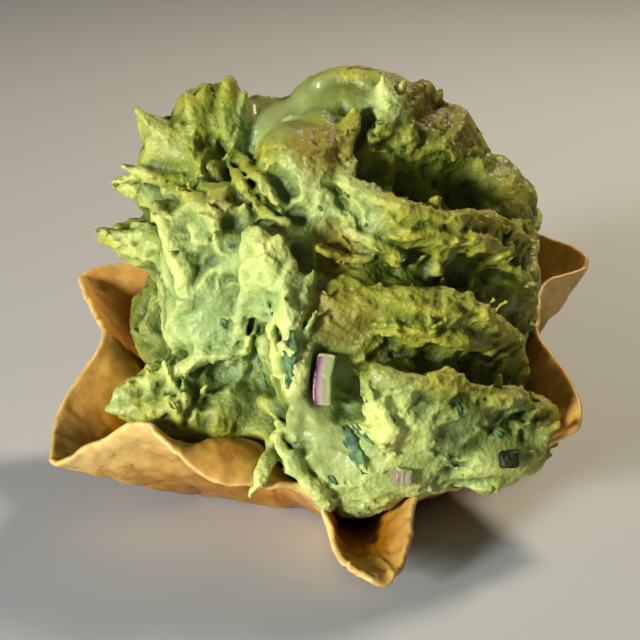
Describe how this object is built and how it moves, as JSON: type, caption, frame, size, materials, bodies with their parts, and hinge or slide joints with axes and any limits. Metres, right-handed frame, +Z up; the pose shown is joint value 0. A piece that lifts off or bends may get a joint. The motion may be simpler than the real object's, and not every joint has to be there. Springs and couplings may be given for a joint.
{
  "type": "guacamole in a tortilla bowl",
  "caption": "Chunky guacamole heaped in torn ledges and peaks in a thin fluted fried tortilla bowl, with bits of red onion and green chilli; a dip with an edible dish.",
  "frame": {"origin": "middle of the bowl's flat bottom, on the surface that it stands on", "axes": "+Z up; -Y towards the bowl's low front fold; +X to the right seen from the front"},
  "size_m": [0.1263, 0.1237, 0.0975],
  "materials": {
    "fried_tortilla": "golden fried flour tortilla, paler and floury at the rim, fine blisters and brown specks",
    "mashed_avocado": "moist mashed avocado, yellow-green with darker green and olive streaks",
    "red_onion": "moist cut onion, pale with a purple skin edge",
    "green_chilli": "moist dark green chilli skin"
  },
  "bodies": {
    "root": {"tortilla_bowl": "fried_tortilla", "guacamole": "mashed_avocado", "red_onion_stick": "red_onion", "red_onion_dice": "red_onion", "green_chilli_bit": "green_chilli"}
  },
  "joints": []
}
